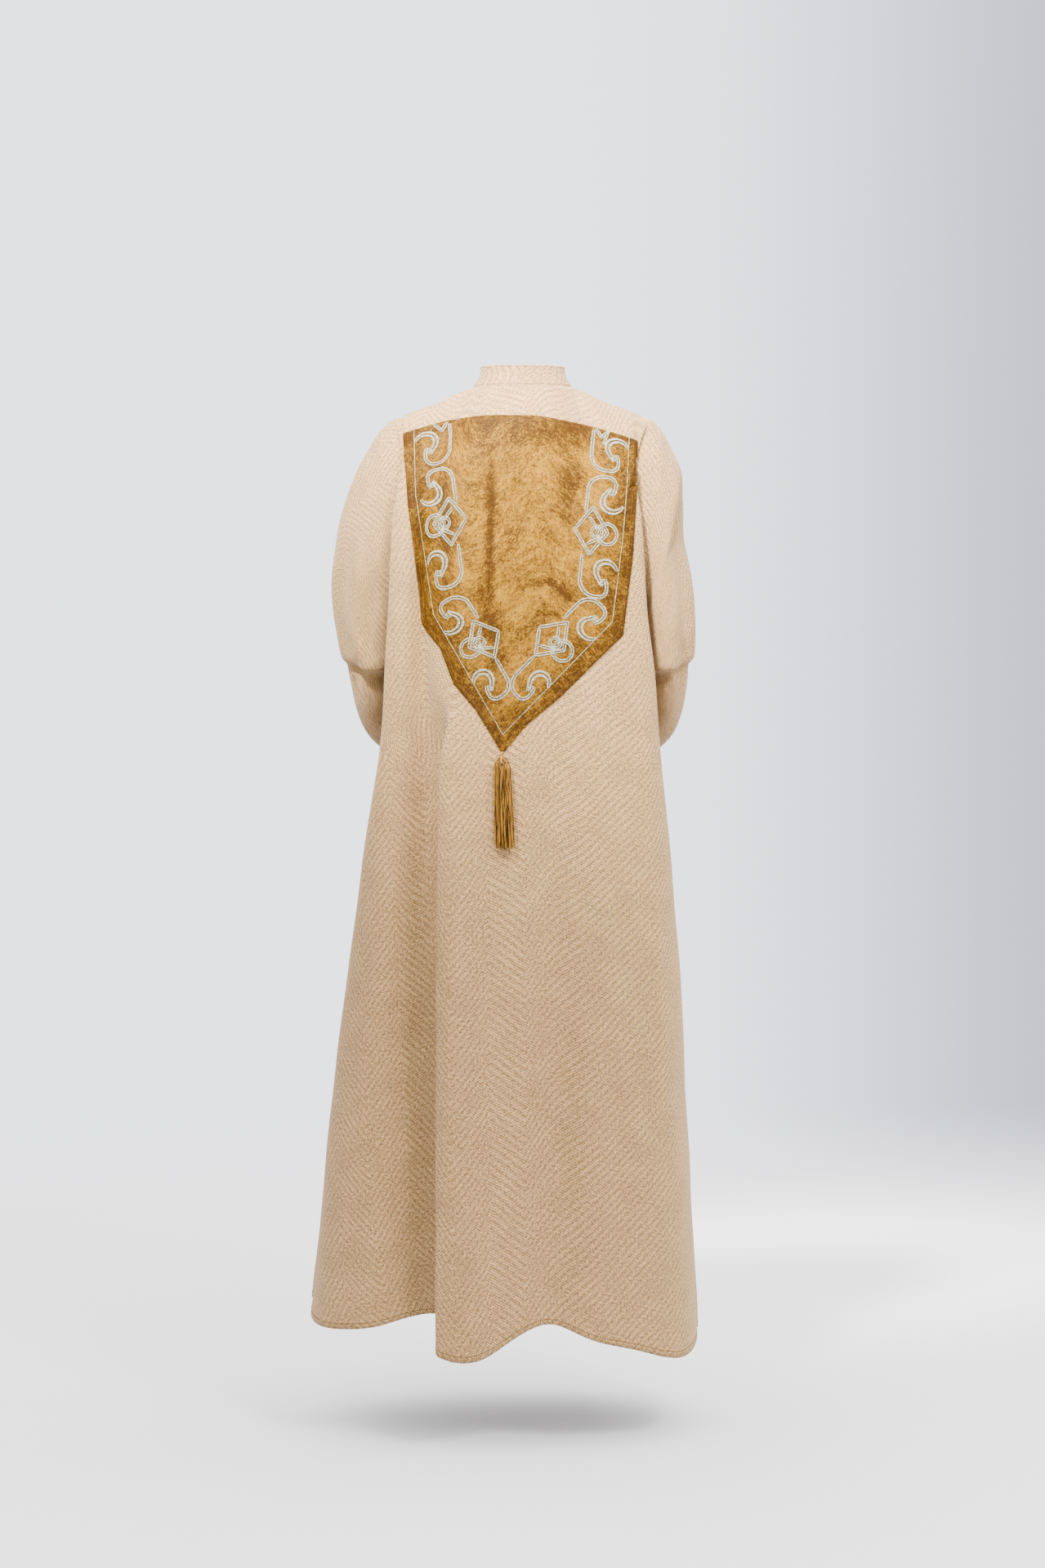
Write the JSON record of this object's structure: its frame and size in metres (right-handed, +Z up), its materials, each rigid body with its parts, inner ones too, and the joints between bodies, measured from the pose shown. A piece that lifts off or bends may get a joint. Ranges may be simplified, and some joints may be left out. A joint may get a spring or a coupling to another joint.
{
  "type": "worn abaya",
  "caption": "Long cream abaya with a stand collar, wide bent sleeves and a pointed velvet back panel ending in a tassel.",
  "frame": {"origin": "middle of the neck opening at the level of the collar seam, where the wearer holds the garment up", "axes": "+Z up, the wearer faces -Y, +X is the wearer's left"},
  "size_m": [0.5717, 0.5037, 1.4214],
  "materials": {
    "woven_cream": "matte heavy woven cloth with fine brown flecks and a diagonal weave",
    "velvet_bronze": "mottled bronze velvet with a soft sheen",
    "thread_silver": "silver-white satin stitch embroidery",
    "thread_gold": "glossy gold tassel thread",
    "thread_brown": "brown topstitching thread"
  },
  "bodies": {
    "root": {"back": "woven_cream", "front_left": "woven_cream", "front_right": "woven_cream", "sleeve_left_upper": "woven_cream", "sleeve_left_lower": "woven_cream", "sleeve_right_upper": "woven_cream", "sleeve_right_lower": "woven_cream", "collar": "woven_cream", "back_panel": "velvet_bronze", "tassel": "thread_gold"}
  },
  "joints": []
}
